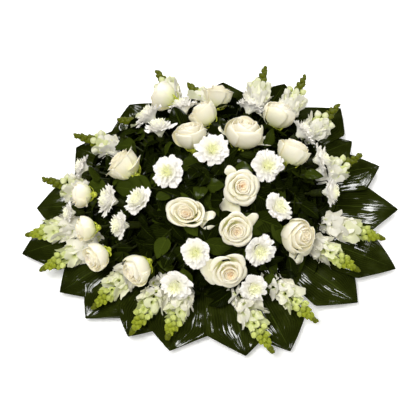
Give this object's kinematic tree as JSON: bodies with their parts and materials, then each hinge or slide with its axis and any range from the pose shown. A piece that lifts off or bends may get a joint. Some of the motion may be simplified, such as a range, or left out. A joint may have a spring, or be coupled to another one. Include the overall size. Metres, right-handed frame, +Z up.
{
  "type": "round funeral flower arrangement",
  "caption": "Low round table arrangement for a funeral: a dome of roses, carnations and snapdragon spikes over a collar of broad leaves, set in a foam-filled dish.",
  "frame": {"origin": "centre of the dish's flat underside, on the table", "axes": "+Z up, square to the table; -Y towards the front, the side the picture was taken from; +X to the right as seen from the front"},
  "size_m": [0.6879, 0.6652, 0.2001],
  "materials": {
    "dish": "dark green moulded plastic, semi-gloss",
    "foam": "wet dark green floral foam, matte",
    "rose": "ivory petals with greenish outer petals, soft satin",
    "carnation": "cool white fringed petals, matte",
    "snapdragon": "white to lime-green florets and buds, soft satin",
    "collar": "dark green leaf, wet and glossy",
    "foliage": "mid to dark green leaf, glossy"
  },
  "bodies": {
    "root": {"carnations_01": "carnation", "carnations_02": "carnation", "carnations_03": "carnation", "carnations_04": "carnation", "carnations_05": "carnation", "carnations_06": "carnation", "carnations_07": "carnation", "carnations_08": "carnation", "collar_leaf_01": "collar", "collar_leaf_02": "collar", "collar_leaf_03": "collar", "collar_leaf_04": "collar", "collar_leaf_05": "collar", "collar_leaf_06": "collar", "collar_leaf_07": "collar", "collar_leaf_08": "collar", "collar_leaf_09": "collar", "collar_leaf_10": "collar", "collar_leaf_11": "collar", "collar_leaf_12": "collar", "collar_leaf_13": "collar", "collar_leaf_14": "collar", "collar_leaf_15": "collar", "collar_leaf_16": "collar", "collar_leaf_17": "collar", "collar_leaf_18": "collar", "dish": "dish", "floral_foam": "foam", "foliage_sprig_01": "foliage", "foliage_sprig_02": "foliage", "foliage_sprig_03": "foliage", "foliage_sprig_04": "foliage", "foliage_sprig_05": "foliage", "rose_01": "rose", "rose_02": "rose", "rose_03": "rose", "rose_04": "rose", "rose_05": "rose", "rose_06": "rose", "rose_07": "rose", "rose_08": "rose", "rose_09": "rose", "rose_10": "rose", "rose_11": "rose", "rose_12": "rose", "rose_13": "rose", "rose_14": "rose", "rose_15": "rose", "rose_16": "rose", "rose_17": "rose", "snapdragons_01": "snapdragon", "snapdragons_02": "snapdragon", "snapdragons_03": "snapdragon", "snapdragons_04": "snapdragon", "snapdragons_05": "snapdragon", "snapdragons_06": "snapdragon", "snapdragons_07": "snapdragon", "snapdragons_08": "snapdragon", "snapdragons_09": "snapdragon"}
  },
  "joints": []
}
